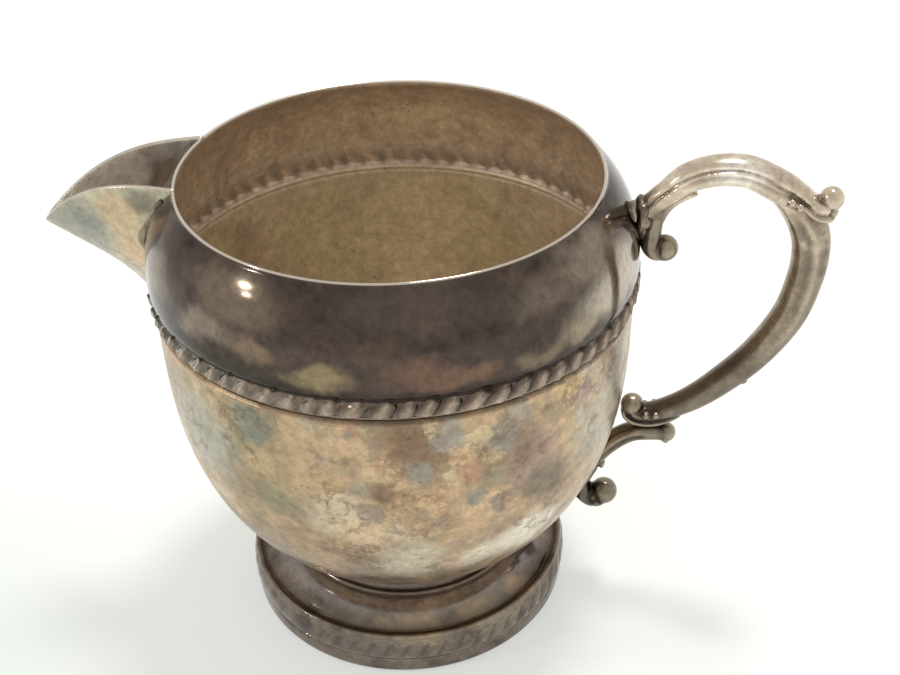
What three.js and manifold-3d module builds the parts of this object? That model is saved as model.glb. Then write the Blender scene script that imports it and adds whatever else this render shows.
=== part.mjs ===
// A silver-plated cream jug: a spun bowl on a domed foot, with a beak spout on one side and a
// cast scroll handle opposite. Millimetres, +Z up, handle towards +X and spout towards -X.
// Every piece is modelled about the bowl's own axis. The whole jug is then moved along X, so that
// the origin lies under the middle of its length, on the surface it stands on.
import * as THREE from 'three';
import * as BufferGeometryUtils from 'three/addons/utils/BufferGeometryUtils.js';
import Module from 'manifold-3d';

const wasm = await Module();
wasm.setup();

// Driving dimensions
const RIM_RADIUS = 36;          // outer radius of the rim
const RIM_HEIGHT = 90.5;
const BELLY_RADIUS = 42.2;      // the upright part of the lower bowl
const BELLY_HEIGHT = 62.5;
const SHOULDER_RADIUS = 42.8;   // just above the rope band
const SHOULDER_HEIGHT = 73.8;
const BAND_RADIUS = 43.1;       // crest of the embossed rope band
const BOWL_BOTTOM = 12;         // height of the bowl's lowest point
const SHEET = 0.9;              // thickness of the bowl, spout and foot
const GAP = 0.3;                // clearance between neighbouring pieces
const NECK_RADIUS = 21.3;       // outer radius of the foot's neck
const FOOT_RADIUS = 31.7;       // widest part of the foot's border
const SPOUT_REACH = 61.9;       // tip of the spout, from the bowl's axis
const HANDLE_REACH = 75.7;      // outermost point of the thumb rest
const AXIS_X = (SPOUT_REACH - HANDLE_REACH) / 2;

const SPIN_SEGMENTS = 48;       // facets round a spun piece
const SCROLL_SIDES = 8;         // facets round a handle scroll

const plate = (color, roughness) => new THREE.MeshStandardMaterial({ color, roughness, metalness: 1 });
const BOWL_FINISH = plate(0x8c8076, 0.25);
const SPOUT_FINISH = plate(0x9a9084, 0.25);
const FOOT_FINISH = plate(0x6f655c, 0.3);
const HANDLE_FINISH = plate(0x8f8275, 0.35);
const SOLDER_FINISH = plate(0xa08a5c, 0.45);

const jug = new THREE.Group();
jug.position.x = AXIS_X;

function addPiece(name, solid, finish) {
  const mesh = new THREE.Mesh(toGeometry(solid), finish);
  mesh.name = name;
  jug.add(mesh);
}

// ------------------------------------------------------------------------------- helpers

function toManifold(geometry) {
  const bare = geometry.clone();
  bare.deleteAttribute('normal');
  bare.deleteAttribute('uv');
  const merged = BufferGeometryUtils.mergeVertices(bare, 1e-4);
  return new wasm.Manifold(new wasm.Mesh({
    numProp: 3,
    vertProperties: new Float32Array(merged.attributes.position.array),
    triVerts: new Uint32Array(merged.index.array),
  }));
}

function toGeometry(solid) {
  const mesh = solid.getMesh();
  const geometry = new THREE.BufferGeometry();
  geometry.setAttribute('position', new THREE.BufferAttribute(mesh.vertProperties, mesh.numProp));
  geometry.setIndex(new THREE.BufferAttribute(mesh.triVerts, 1));
  return geometry;
}

// A profile of [radius, height] pairs, turned about the Z axis.
function spun(profile) {
  const points = profile.map(([r, z]) => new THREE.Vector2(r, z));
  return toManifold(new THREE.LatheGeometry(points, SPIN_SEGMENTS).rotateX(Math.PI / 2));
}

// An upward-running profile moved sideways: positive is away from the axis.
function offsetProfile(profile, distance) {
  return profile.map(([r, z], i) => {
    const [r0, z0] = profile[Math.max(i - 1, 0)];
    const [r1, z1] = profile[Math.min(i + 1, profile.length - 1)];
    const length = Math.hypot(r1 - r0, z1 - z0);
    const moved = r + (z1 - z0) / length * distance;
    return [r === 0 ? 0 : moved, z - (r1 - r0) / length * distance];
  });
}

// A closed skin over rings that all have the same number of points, turning clockwise when seen
// from the last ring. Each end is closed from its middle point.
function loft(rings) {
  const count = rings[0].length;
  const points = rings.flat();
  const faces = [];
  for (let i = 0; i < rings.length - 1; i += 1) {
    for (let j = 0; j < count; j += 1) {
      const a = i * count + j;
      const b = i * count + (j + 1) % count;
      faces.push(a, b + count, b, a, a + count, b + count);
    }
  }
  const close = (ring, start, isLast) => {
    const middle = points.length;
    const centre = new THREE.Vector3();
    ring.forEach((point) => centre.addScaledVector(point, 1 / count));
    points.push(centre);
    for (let j = 0; j < count; j += 1) {
      const a = start + j;
      const b = start + (j + 1) % count;
      faces.push(middle, ...(isLast ? [b, a] : [a, b]));
    }
  };
  close(rings[0], 0, false);
  close(rings.at(-1), (rings.length - 1) * count, true);
  const geometry = new THREE.BufferGeometry();
  const coordinates = points.flatMap((point) => point.toArray());
  geometry.setAttribute('position', new THREE.Float32BufferAttribute(coordinates, 3));
  geometry.setIndex(faces);
  return toManifold(geometry);
}

// A cast scroll that lies in the XZ plane. Each point is [x, z, width in the plane, thickness
// across it], and grow widens the scroll all round.
function scroll(points, steps, grow) {
  const route = new THREE.CatmullRomCurve3(points.map(([x, z]) => new THREE.Vector3(x, 0, z)));
  const sizes = new THREE.CatmullRomCurve3(points.map((p) => new THREE.Vector3(p[2], p[3], 0)));
  const rings = [];
  for (let i = 0; i <= steps; i += 1) {
    const centre = route.getPoint(i / steps);
    const along = route.getTangent(i / steps);
    const size = sizes.getPoint(i / steps);
    const inPlane = new THREE.Vector3(along.z, 0, -along.x).multiplyScalar(size.x / 2 + grow);
    const acrossPlane = new THREE.Vector3(0, size.y / 2 + grow, 0);
    const ring = [];
    for (let j = 0; j < SCROLL_SIDES; j += 1) {
      const angle = -2 * Math.PI * j / SCROLL_SIDES;
      ring.push(centre.clone()
        .addScaledVector(inPlane, Math.cos(angle))
        .addScaledVector(acrossPlane, Math.sin(angle)));
    }
    rings.push(ring);
  }
  return loft(rings);
}

function ball(x, z, radius) {
  return toManifold(new THREE.SphereGeometry(radius, 10, 7).translate(x, 0, z));
}

// An egg of solder: a sphere with a half size in each direction, tilted in the XZ plane.
function egg(x, z, halfSizes, tilt) {
  return toManifold(new THREE.SphereGeometry(1, 14, 9)
    .scale(...halfSizes)
    .rotateY(tilt)
    .translate(x, 0, z));
}

// ---------------------------------------------------------------------------------- bowl

const ROUNDNESS = 2.5;          // power of the superellipses that shape the bowl
const LOWER_STEPS = 10;
const SHOULDER_STEPS = 5;

const superellipse = (share) => (1 - share ** ROUNDNESS) ** (1 / ROUNDNESS);

// Height over which the shoulder would close completely, if the rim didn't cut it short
const SHOULDER_SPAN = (RIM_HEIGHT - SHOULDER_HEIGHT) / superellipse(RIM_RADIUS / SHOULDER_RADIUS);

function bowlRadius(z) {
  if (z <= BELLY_HEIGHT) {
    return BELLY_RADIUS * superellipse((BELLY_HEIGHT - z) / (BELLY_HEIGHT - BOWL_BOTTOM));
  }
  if (z < SHOULDER_HEIGHT) {
    return BELLY_RADIUS;
  }
  return SHOULDER_RADIUS * superellipse((z - SHOULDER_HEIGHT) / SHOULDER_SPAN);
}

function bowlOutline() {
  const outline = [];
  for (let i = 0; i < LOWER_STEPS; i += 1) {
    const angle = Math.PI / 2 * i / LOWER_STEPS;
    const reach = Math.sin(angle) ** (2 / ROUNDNESS);
    const drop = Math.cos(angle) ** (2 / ROUNDNESS);
    outline.push([BELLY_RADIUS * reach, BELLY_HEIGHT - (BELLY_HEIGHT - BOWL_BOTTOM) * drop]);
  }
  // The embossed rope band, with a groove under it
  const bandMiddle = SHOULDER_HEIGHT - 1.8;
  outline.push(
    [BELLY_RADIUS, BELLY_HEIGHT],
    [BELLY_RADIUS, bandMiddle - 2.4],
    [BAND_RADIUS - 0.3, bandMiddle - 1.4],
    [BAND_RADIUS, bandMiddle],
    [BAND_RADIUS - 0.2, bandMiddle + 1.3],
  );
  for (let i = 0; i <= SHOULDER_STEPS; i += 1) {
    const z = THREE.MathUtils.lerp(SHOULDER_HEIGHT, RIM_HEIGHT, 1 - (1 - i / SHOULDER_STEPS) ** 1.5);
    outline.push([bowlRadius(z), z]);
  }
  return outline;
}

const outline = bowlOutline();

// The bowl as a solid block, grown by the gap and carried up past the rim: what the pieces that
// are soldered to the bowl have to stay clear of.
function bowlBlock() {
  const grown = offsetProfile(outline, GAP);
  const above = RIM_HEIGHT + 10;
  return spun([...grown, [grown.at(-1)[0], above], [0, above]]);
}

// The opening under the rim that lets the cream out into the spout
function spoutPort() {
  const halfWidth = 6.2;
  const halfHeight = 5;
  const depth = 20;
  const belowRim = 8.3;
  const shape = new THREE.Shape().absellipse(0, 0, halfWidth, halfHeight, 0, 2 * Math.PI);
  const cutter = new THREE.ExtrudeGeometry(shape, { depth, bevelEnabled: false, curveSegments: 10 });
  cutter.rotateX(Math.PI / 2).rotateZ(Math.PI / 2).translate(-50, 0, RIM_HEIGHT - belowRim);
  return toManifold(cutter);
}

const inside = offsetProfile(outline, -SHEET).reverse();
inside[0][1] = RIM_HEIGHT;
addPiece('body_bowl', spun([...outline, ...inside]).subtract(spoutPort()), BOWL_FINISH);

const bowlClearance = bowlBlock();

// ---------------------------------------------------------------------------------- spout

const SPOUT_ROOT = 34.5;        // where the spout's edges meet the rim, along X
const ROOT_HALF_WIDTH = 10.3;
const TIP_HALF_WIDTH = 0.45;
const TIP_HEIGHT = 79.2;        // top edge at the tip
const TIP_DEPTH = 0.6;
const KEEL_FOOT = 57;           // the keel runs into the bowl a little above this
const SPOUT_STEPS = 14;
const SECTION_STEPS = 6;        // points down each side of a section
const KEEL_WALL = 1.3;          // the sheet is thicker along the folded keel
const BEAD_RADIUS = 1.2;        // solder along the spout's root

// Each of these takes the share of the way back from the tip (0) to the root (1).
const spoutX = (share) => SPOUT_REACH - (SPOUT_REACH - SPOUT_ROOT) * share;
const spoutHalfWidth = (share) => TIP_HALF_WIDTH + (ROOT_HALF_WIDTH - TIP_HALF_WIDTH) * share ** 0.58;
const spoutRim = (share) => RIM_HEIGHT - (RIM_HEIGHT - TIP_HEIGHT) * (1 - share) ** 2.75;
const spoutKeel = (share) => Math.max(TIP_HEIGHT - TIP_DEPTH - 17.5 * share - 53 * share ** 6, KEEL_FOOT);

// Half width of the spout at a height between its keel and its rim: a V with a rounded bottom
function spoutHalfWidthAt(share, z) {
  const lift = (z - spoutKeel(share)) / (spoutRim(share) - spoutKeel(share));
  return spoutHalfWidth(share) * THREE.MathUtils.clamp(lift, 0, 1) ** 0.55;
}

// One section across the spout, from its edge on +Y down to the keel and up to its other edge.
// inset moves the sides in, raise moves the keel up, and extra carries the edges above the rim.
function spoutSection(share, inset, raise, extra) {
  const halfWidth = Math.max(spoutHalfWidth(share) - inset, 0.05);
  const keel = spoutKeel(share) + raise;
  const rim = Math.max(spoutRim(share), keel + 0.1);
  const side = [];
  for (let i = 1; i <= SECTION_STEPS; i += 1) {
    const lift = (i / SECTION_STEPS) ** 1.7;
    side.push([halfWidth * lift ** 0.55, THREE.MathUtils.lerp(keel, rim, lift)]);
  }
  side.push([halfWidth, rim + extra]);
  const toPoint = (y, z) => new THREE.Vector3(-spoutX(share), y, z);
  return [
    ...side.map(([y, z]) => toPoint(y, z)).reverse(),
    toPoint(0, keel),
    ...side.map(([y, z]) => toPoint(-y, z)),
  ];
}

function spoutBlock(inset, raise, extra, firstShare) {
  const rings = [];
  for (let i = 0; i <= SPOUT_STEPS; i += 1) {
    const share = THREE.MathUtils.lerp(firstShare, 1, (i / SPOUT_STEPS) ** 1.3);
    rings.push(spoutSection(share, inset, raise, extra));
  }
  return loft(rings);
}

const spout = spoutBlock(0, 0, 0.01, 0)
  .subtract(spoutBlock(SHEET, KEEL_WALL, 5, 0.03))
  .subtract(bowlClearance);
addPiece('spout', spout, SPOUT_FINISH);

// Radius of the bowl at a height, read from its outline
function outlineRadius(z) {
  const above = outline.findIndex(([, height]) => height > z);
  const [r0, z0] = outline[above - 1];
  const [r1, z1] = outline[above];
  return THREE.MathUtils.mapLinear(z, z0, z1, r0, r1);
}

// Halves the range from the tip (0) to the root (1) until it finds where a test turns true
function findShare(isInside) {
  let outer = 0;
  let inner = 1;
  for (let i = 0; i < 30; i += 1) {
    const share = (outer + inner) / 2;
    if (isInside(share)) {
      inner = share;
    } else {
      outer = share;
    }
  }
  return inner;
}

// Where the outside of the spout meets the bowl at height z, as a point on the +Y side
function spoutContact(z) {
  const share = findShare((t) => Math.hypot(spoutX(t), spoutHalfWidthAt(t, z)) < outlineRadius(z));
  return new THREE.Vector3(-spoutX(share), spoutHalfWidthAt(share, z), z);
}

// A bead of solder down one side of the spout's root, round the foot of its keel and up again
function spoutSeam() {
  const footShare = findShare((t) => spoutX(t) < outlineRadius(spoutKeel(t)));
  const foot = new THREE.Vector3(-spoutX(footShare), 0, spoutKeel(footShare));
  const top = RIM_HEIGHT - 1;
  const pointsPerSide = 12;
  const side = [];
  for (let i = 0; i < pointsPerSide; i += 1) {
    side.push(spoutContact(THREE.MathUtils.lerp(top, foot.z, i / pointsPerSide)));
  }
  const mirrored = side.map((point) => new THREE.Vector3(point.x, -point.y, point.z)).reverse();
  const route = new THREE.CatmullRomCurve3([...side, foot, ...mirrored]);
  const section = new THREE.Shape().absarc(0, 0, BEAD_RADIUS, 0, 2 * Math.PI);
  const bead = new THREE.ExtrudeGeometry(section, { steps: 34, extrudePath: route, curveSegments: 3 });
  return toManifold(bead)
    .subtract(spoutBlock(-GAP, -GAP, 5, 0))
    .subtract(bowlClearance);
}

addPiece('spout_solder_seam', spoutSeam(), SOLDER_FINISH);

// ----------------------------------------------------------------------------------- foot

const NECK_TOP = 15;
const BORDER_TOP = 9.4;
const BORDER_BOTTOM = 3.5;
const FOOT_WALL = 29.9;         // outer radius of the foot's upright wall, behind the border
const SOLDER_WIRE = 0.4;        // half thickness of the solder round the neck

function footPedestal() {
  return spun([
    [FOOT_WALL - SHEET, BORDER_BOTTOM],
    [FOOT_WALL, BORDER_BOTTOM],
    [FOOT_WALL, 8.4],
    [29.2, 9.1],
    [28, 10],
    [26, 11.3],
    [24, 12.2],
    [NECK_RADIUS + 0.7, 12.5],
    [NECK_RADIUS + 0.2, 13],
    [NECK_RADIUS, 13.8],
    [NECK_RADIUS, NECK_TOP],
    [NECK_RADIUS - SHEET, NECK_TOP],
    [NECK_RADIUS - SHEET, 11.9],
    [23.4, 11.3],
    [25.4, 10.5],
    [27.5, 9.1],
    [FOOT_WALL - SHEET, 8],
    [FOOT_WALL - SHEET, BORDER_BOTTOM],
  ]);
}

function footBorder() {
  const inner = FOOT_WALL + GAP;
  return spun([
    [inner, BORDER_BOTTOM],
    [FOOT_RADIUS - 0.4, BORDER_BOTTOM],
    [FOOT_RADIUS, 5.4],
    [FOOT_RADIUS, 6.8],
    [FOOT_RADIUS - 0.7, 8.6],
    [FOOT_RADIUS - 0.8, BORDER_TOP - 0.2],
    [FOOT_RADIUS - 1.2, BORDER_TOP],
    [inner, BORDER_TOP - 0.3],
    [inner, BORDER_BOTTOM],
  ]);
}

function footBaseRing() {
  const inner = FOOT_WALL - SHEET;
  const top = BORDER_BOTTOM - GAP;
  return spun([
    [inner, 0],
    [FOOT_RADIUS - 0.8, 0],
    [FOOT_RADIUS - 0.3, 0.5],
    [FOOT_RADIUS - 0.3, top - 0.3],
    [FOOT_RADIUS - 0.6, top],
    [inner, top],
    [inner, 0],
  ]);
}

function footSolderRing() {
  const wire = [];
  for (let i = 0; i <= 6; i += 1) {
    const angle = 2 * Math.PI * (i % 6) / 6;
    wire.push([
      NECK_RADIUS + GAP + SOLDER_WIRE + SOLDER_WIRE * Math.cos(angle),
      NECK_TOP + 0.05 + SOLDER_WIRE * Math.sin(angle),
    ]);
  }
  return spun(wire);
}

addPiece('foot_pedestal', footPedestal(), FOOT_FINISH);
addPiece('foot_border', footBorder(), FOOT_FINISH);
addPiece('foot_base_ring', footBaseRing(), FOOT_FINISH);
addPiece('foot_solder_ring', footSolderRing(), SOLDER_FINISH);

// --------------------------------------------------------------------------------- handle

// Arch from the shoulder up over the fingers, ending in the curled thumb rest
const ARCH = [
  [40.5, 82.4, 4, 5.5],
  [43.5, 84, 3.8, 5],
  [46.2, 86.5, 4, 5],
  [50, 89.8, 4.7, 5.4],
  [55, 91.3, 5, 5.8],
  [60, 90.9, 5.2, 6],
  [64.8, 88.6, 5.4, 6.2],
  [68.2, 86.7, 4.6, 6],
  [71, 85.3, 3.2, 5.4],
  [73.2, 85, 2.6, 4.6],
];

// Curl that drops from the arch, along the bowl, to a ball
const CURL = [
  [45.2, 85.4, 2.6, 4],
  [45, 82, 2.8, 4.4],
  [44.6, 79, 3, 4.8],
  [44.3, 76.2, 3.6, 4.8],
  [45.8, 74.4, 3, 4.4],
  [47.2, 75, 2.8, 4],
];

const GRIP = [
  [68.4, 84.9, 5.6, 5.6],
  [70.6, 81.5, 6.6, 6.2],
  [71.6, 77.2, 6.4, 6.4],
  [71.4, 71, 6.2, 6.4],
  [69.6, 63, 6, 6.2],
  [65, 54.7, 5.6, 6],
  [59.3, 48.1, 5.1, 5.6],
  [54, 43.5, 4.5, 5],
  [49, 40.9, 3.6, 4.6],
  [45.6, 40.2, 3, 4.2],
  [43.6, 40.9, 2.6, 4],
];

const BRACKET = [
  [50.7, 35.5, 3, 3.6],
  [47.5, 35.7, 3.2, 4],
  [44, 35.3, 3.2, 4.4],
  [41, 33.4, 3.4, 4.6],
  [38.6, 30.4, 3.2, 4.6],
  [36.7, 27, 3.2, 4.4],
  [35, 23.6, 3.6, 4.6],
  [35.3, 20.2, 4, 4.8],
  [37.4, 18.4, 3.6, 4.4],
  [39.2, 19, 3, 4],
];

// Short foot that joins the lower bracket to the bowl
const BRACKET_FOOT = [
  [27.5, 23.4, 3.6, 4.8],
  [31, 22, 3.4, 4.6],
  [35.4, 21, 3.2, 4.4],
];

const THUMB_BALL = 2.1;

function upperScroll(grow) {
  return scroll(ARCH, 22, grow)
    .add(scroll(CURL, 12, grow))
    .add(ball(HANDLE_REACH - THUMB_BALL, 86.5, THUMB_BALL + grow))
    .add(ball(47, 76.2, 2.3 + grow));
}

function gripScroll(grow) {
  return scroll(GRIP, 28, grow).add(ball(43.6, 41.9, 2.1 + grow));
}

function lowerBracket(grow) {
  return scroll(BRACKET, 22, grow)
    .add(ball(50.3, 35.5, 1.9 + grow))
    .add(ball(39.3, 20, 2.4 + grow))
    .add(scroll(BRACKET_FOOT, 4, grow));
}

addPiece('handle_upper_scroll', upperScroll(0).subtract(bowlClearance), HANDLE_FINISH);
addPiece('handle_grip_scroll', gripScroll(0).subtract(upperScroll(GAP)), HANDLE_FINISH);
addPiece(
  'handle_lower_bracket',
  lowerBracket(0).subtract(gripScroll(GAP)).subtract(bowlClearance),
  HANDLE_FINISH,
);

// Collars of solder round the two ends of the handle, where they meet the bowl
const upperCollar = egg(41.9, 82.9, [1.6, 3.9, 3.3], -0.4);
const lowerCollar = egg(29.8, 22.6, [1.5, 3.4, 2.9], 0.75);
addPiece('handle_upper_solder', upperCollar.subtract(upperScroll(GAP)).subtract(bowlClearance), SOLDER_FINISH);
addPiece('handle_lower_solder', lowerCollar.subtract(lowerBracket(GAP)).subtract(bowlClearance), SOLDER_FINISH);

export default jug;
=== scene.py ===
import math

import bpy
import numpy as np
from mathutils import Matrix, Quaternion, Vector


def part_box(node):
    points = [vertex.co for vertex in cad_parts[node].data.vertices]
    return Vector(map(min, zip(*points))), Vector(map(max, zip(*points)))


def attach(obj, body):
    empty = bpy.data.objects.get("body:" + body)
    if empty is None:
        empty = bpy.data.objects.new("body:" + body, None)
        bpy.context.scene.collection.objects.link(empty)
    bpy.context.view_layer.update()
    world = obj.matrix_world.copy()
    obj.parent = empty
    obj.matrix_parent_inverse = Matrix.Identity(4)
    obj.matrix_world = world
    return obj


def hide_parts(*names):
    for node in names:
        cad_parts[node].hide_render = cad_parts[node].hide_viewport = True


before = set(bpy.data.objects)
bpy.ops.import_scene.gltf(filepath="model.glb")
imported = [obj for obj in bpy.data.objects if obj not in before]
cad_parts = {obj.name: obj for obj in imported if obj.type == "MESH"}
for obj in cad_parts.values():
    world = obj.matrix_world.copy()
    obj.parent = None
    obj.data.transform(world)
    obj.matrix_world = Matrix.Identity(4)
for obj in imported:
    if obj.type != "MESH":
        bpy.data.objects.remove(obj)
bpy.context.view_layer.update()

# A tarnished silver-plated cream jug. Shapes are worked out in millimetres about the bowl's own
# axis, with the handle towards +X and the spout towards -X, and are then moved into the frame.
MM = 0.001
ring_low, ring_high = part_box("foot_base_ring")
AXIS_X = (ring_low[0] + ring_high[0]) / 2 / MM

# Driving dimensions, as in the CAD model
RIM_RADIUS = 36.0
RIM_HEIGHT = 90.5
BELLY_RADIUS = 42.2
BELLY_HEIGHT = 62.5
SHOULDER_RADIUS = 42.8
SHOULDER_HEIGHT = 73.8
STEP_LOW = 73.2                   # where the wall starts to step out to the shoulder
BOWL_BOTTOM = 12.0
SHEET = 0.9
ROUNDNESS = 2.5                   # power of the superellipse that the bowl's outline follows
BAND_LOW = 68.4                   # from here to BAND_HIGH the bowl's mesh is fine, for the rope
BAND_HIGH = 74.5
BORDER_TOP = 9.0
TURN = 2 * math.pi


# ---- Mesh helpers

def add_object(name, data):
    thing = bpy.data.objects.new(name, data)
    bpy.context.scene.collection.objects.link(thing)
    return thing


def make_mesh(name, points, faces):
    """A mesh from millimetre points about the bowl's axis."""
    mesh = bpy.data.meshes.new(name)
    placed = (np.asarray(points, dtype=float) + [AXIS_X, 0.0, 0.0]) * MM
    mesh.from_pydata(placed.tolist(), [], faces)
    return mesh


def store(mesh, label, values):
    layer = mesh.attributes.new(label, "FLOAT", "POINT")
    layer.data.foreach_set("value", np.asarray(values, dtype=np.float32))


def with_modifiers(thing):
    """A new mesh of what an object's modifiers make of it."""
    bpy.context.view_layer.update()
    evaluated = thing.evaluated_get(bpy.context.evaluated_depsgraph_get())
    return bpy.data.meshes.new_from_object(evaluated)


def stand_for(piece, node):
    """Puts a piece on the jug's one body, in place of a node of the CAD model."""
    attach(piece, "root")
    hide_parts(node)


def make_piece(name, points, faces, node, material, attributes):
    """A smooth-shaded piece that stands for a node of the CAD model."""
    mesh = make_mesh(name, points, faces)
    for label, values in attributes.items():
        store(mesh, label, values)
    mesh.shade_smooth()
    mesh.materials.append(material)
    piece = add_object(name, mesh)
    stand_for(piece, node)
    return piece


def ring_faces(low, low_count, high, high_count):
    """Faces between two closed rings. One ring's point count is a multiple of the other's."""
    faces = []
    few = min(low_count, high_count)
    low_step = low_count // few
    high_step = high_count // few
    for j in range(few):
        below = [low + (j * low_step + i) % low_count for i in range(low_step + 1)]
        above = [high + (j * high_step + i) % high_count for i in range(high_step + 1)]
        faces.append((*below, *reversed(above)))
    return faces


def stack_rings(rings, closed=False, ends=False):
    """Points and faces of a skin over rings of points. closed joins the last ring to the first,
    and ends closes the first and last ring from their middle points."""
    points = np.concatenate(rings)
    starts = np.cumsum([0] + [len(ring) for ring in rings])
    faces = []
    pairs = [(i, i + 1) for i in range(len(rings) - 1)]
    if closed:
        pairs.append((len(rings) - 1, 0))
    for i, k in pairs:
        faces += ring_faces(int(starts[i]), len(rings[i]), int(starts[k]), len(rings[k]))
    if ends:
        first, last = rings[0], rings[-1]
        middle = len(points)
        points = np.concatenate([points, [first.mean(axis=0)], [last.mean(axis=0)]])
        start = int(starts[-2])
        faces += [(middle, (j + 1) % len(first), j) for j in range(len(first))]
        faces += [(middle + 1, start + j, start + (j + 1) % len(last)) for j in range(len(last))]
    return points, faces


def turned(radius, height, count):
    """One ring about the bowl's axis. radius and height are numbers or arrays of count."""
    angle = np.arange(count) * TURN / count
    level = np.full(count, height)
    return np.stack([radius * np.cos(angle), radius * np.sin(angle), level], axis=1)


def smooth_step(value, low, high):
    share = np.clip((value - low) / (high - low), 0, 1)
    return share * share * (3 - 2 * share)


def bell(value, middle, width):
    return np.exp(-((value - middle) / width) ** 2)


def wobble(angle, seed, terms=7, first=2):
    """A smooth random wave round the axis, about -1 to 1."""
    random = np.random.default_rng(seed)
    wave = np.zeros_like(angle)
    for k in range(first, first + terms):
        wave += random.normal() * np.cos(k * angle + random.uniform(0, TURN))
    return wave / math.sqrt(terms)


# ---- Material helpers

class Tree:
    """Builds the nodes of a material or world. A method returns the socket with its result."""

    def __init__(self, owner, space="Object"):
        owner.use_nodes = True
        self.owner = owner
        self.nodes = owner.node_tree.nodes
        self.links = owner.node_tree.links
        self.place = self.nodes.new("ShaderNodeTexCoord").outputs[space]

    def put(self, socket, value):
        if isinstance(value, bpy.types.NodeSocket):
            self.links.new(value, socket)
        else:
            socket.default_value = value

    def math(self, operation, a, b=0.0):
        node = self.nodes.new("ShaderNodeMath")
        node.operation = operation
        self.put(node.inputs[0], a)
        self.put(node.inputs[1], b)
        return node.outputs[0]

    def vector(self, operation, a, b):
        node = self.nodes.new("ShaderNodeVectorMath")
        node.operation = operation
        self.put(node.inputs[0], a)
        self.put(node.inputs[1], b)
        return node.outputs["Value" if operation == "LENGTH" else "Vector"]

    def times(self, a, b):
        return self.math("MULTIPLY", a, b)

    def texture(self, kind, place, size, **settings):
        """The outputs of a texture whose blotches or cells are about size millimetres wide."""
        node = self.nodes.new(kind)
        self.put(node.inputs["Vector"], place)
        node.inputs["Scale"].default_value = 1 / (size * MM)
        for label, value in settings.items():
            node.inputs[label].default_value = value
        return node.outputs

    def noise(self, size, detail, roughness, shift, place=None):
        moved = self.vector("ADD", place or self.place, (shift, shift * 0.7, -shift))
        settings = {"Detail": detail, "Roughness": roughness}
        return self.texture("ShaderNodeTexNoise", moved, size, **settings)["Fac"]

    def warped(self, size, amount):
        """The place on the surface, pushed about by up to amount millimetres."""
        colour = self.texture("ShaderNodeTexNoise", self.place, size, Detail=3)["Color"]
        centred = self.vector("SUBTRACT", colour, (0.5, 0.5, 0.5))
        factor = 2 * amount * MM
        return self.vector("ADD", self.place, self.vector("MULTIPLY", centred, (factor,) * 3))

    def cells(self, size, place):
        """One random number per irregular cell."""
        split = self.nodes.new("ShaderNodeSeparateColor")
        self.links.new(self.texture("ShaderNodeTexVoronoi", place, size)["Color"], split.inputs[0])
        return split.outputs[0]

    def chips(self, size, place):
        """The middle of the irregular cell that a place lies in, as for flaked tarnish."""
        return self.texture("ShaderNodeTexVoronoi", place, size)["Position"]

    def upwards(self):
        split = self.nodes.new("ShaderNodeSeparateXYZ")
        self.links.new(self.place, split.inputs[0])
        return split.outputs["Z"]

    def height(self):
        return self.math("DIVIDE", self.upwards(), MM)

    def fade(self, value, low, high, start=0.0, end=1.0):
        node = self.nodes.new("ShaderNodeMapRange")
        node.interpolation_type = "SMOOTHSTEP"
        for socket, number in zip(node.inputs, (value, low, high, start, end)):
            self.put(socket, number)
        return node.outputs[0]

    def between(self, value, low, full_low, full_high, high):
        """1 in the middle of a stretch, fading to 0 at both its ends."""
        return self.times(self.fade(value, low, full_low), self.fade(value, high, full_high))

    def gloss(self, low, high):
        """Uneven roughness between two limits."""
        return self.fade(self.noise(5, 4, 0.6, 6.1), 0.3, 0.7, low, high)

    def ramp(self, value, stops, constant=False):
        node = self.nodes.new("ShaderNodeValToRGB")
        ramp = node.color_ramp
        ramp.interpolation = "CONSTANT" if constant else "LINEAR"
        while len(ramp.elements) < len(stops):
            ramp.elements.new(0.5)
        for element, (position, colour) in zip(ramp.elements, stops):
            element.position = position
            element.color = (*colour, 1)
        self.put(node.inputs[0], value)
        return node.outputs[0]

    def mix(self, share, a, b, blend="MIX"):
        node = self.nodes.new("ShaderNodeMix")
        node.data_type = "RGBA"
        node.blend_type = blend
        self.put(node.inputs["Factor"], share)
        sockets = [socket for socket in node.inputs if socket.type == "RGBA"]
        for socket, value in zip(sockets, (a, b)):
            self.put(socket, (*value, 1) if isinstance(value, tuple) else value)
        return [socket for socket in node.outputs if socket.type == "RGBA"][0]

    def cover(self, colour, paint, where, share):
        """Lays a paint over a colour, as strongly as where times share."""
        return self.mix(self.times(where, share), colour, paint)

    def attribute(self, name):
        node = self.nodes.new("ShaderNodeAttribute")
        node.attribute_name = name
        return node.outputs["Fac"]

    def paint_patch(self, colour, place, spot, radius, paint, share, soft, squash=1.0):
        """Paints a soft patch about spot, for stains and for painted light and shade. spot is
        (angle in degrees, distance from the axis, height).
        soft is the share of its radius that fades out. A squash above 1 makes it wide and low."""
        angle, reach, height = spot
        x = AXIS_X + reach * math.cos(math.radians(angle))
        y = reach * math.sin(math.radians(angle))
        centre = (x * MM, y * MM, height * MM)
        away = self.vector("MULTIPLY", self.vector("SUBTRACT", place, centre), (1, 1, squash))
        distance = self.vector("LENGTH", away, (0, 0, 0))
        where = self.fade(distance, radius * MM, radius * (1 - soft) * MM)
        return self.cover(colour, paint, where, share)

    def bump(self, height, strength, distance):
        node = self.nodes.new("ShaderNodeBump")
        node.inputs["Strength"].default_value = strength
        node.inputs["Distance"].default_value = distance * MM
        self.put(node.inputs["Height"], height)
        self.put(self.shader("Normal"), node.outputs[0])

    def shader(self, socket):
        return self.nodes["Principled BSDF"].inputs[socket]

    def finish(self, colour, roughness, metallic):
        self.put(self.shader("Base Color"), colour)
        self.put(self.shader("Roughness"), roughness)
        self.put(self.shader("Metallic"), metallic)
        return self.owner


def new_tree(name):
    return Tree(bpy.data.materials.new(name))


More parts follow.
